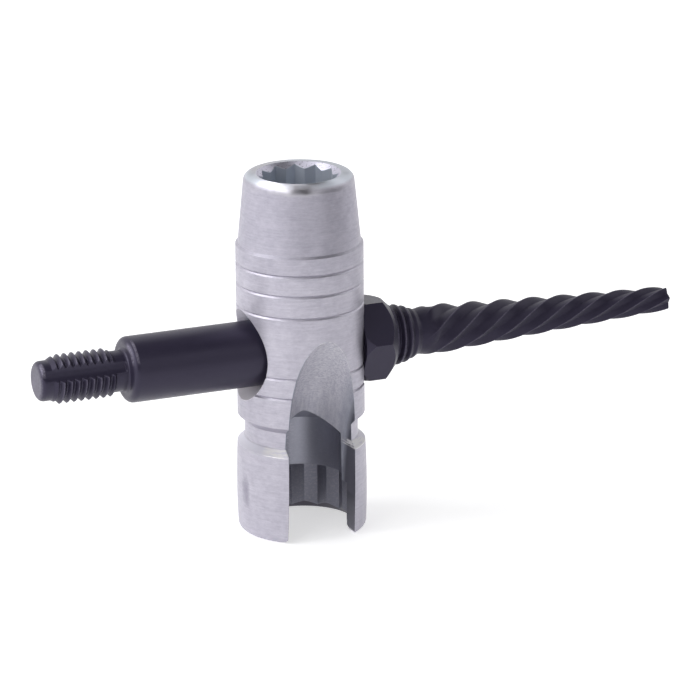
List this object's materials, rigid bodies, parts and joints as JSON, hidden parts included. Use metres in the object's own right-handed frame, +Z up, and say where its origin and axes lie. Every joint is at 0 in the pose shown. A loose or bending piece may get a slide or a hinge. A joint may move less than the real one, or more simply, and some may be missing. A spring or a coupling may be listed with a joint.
{
  "type": "screw extractor",
  "caption": "Hand tool for broken grease fittings: a left-hand spiral screw extractor and a thread tap arm cross a turned steel body with a bi-hex socket at each end.",
  "frame": {"origin": "on the body's axis, in the plane of its slotted lower end, on which it stands", "axes": "+Z up along the body's axis, +X along the arms' axis towards the extractor's tip, -Y towards the slot in the body's lower end"},
  "size_m": [0.1114, 0.021, 0.06],
  "materials": {
    "zinc_steel": "satin zinc plate over turned steel, with fine turning lines",
    "black_steel": "satin black oxide on hardened steel, slightly purple"
  },
  "bodies": {
    "root": {"body": "zinc_steel", "tap_arm": "black_steel", "lock_nut": "black_steel", "extractor_arm": "black_steel"}
  },
  "joints": []
}
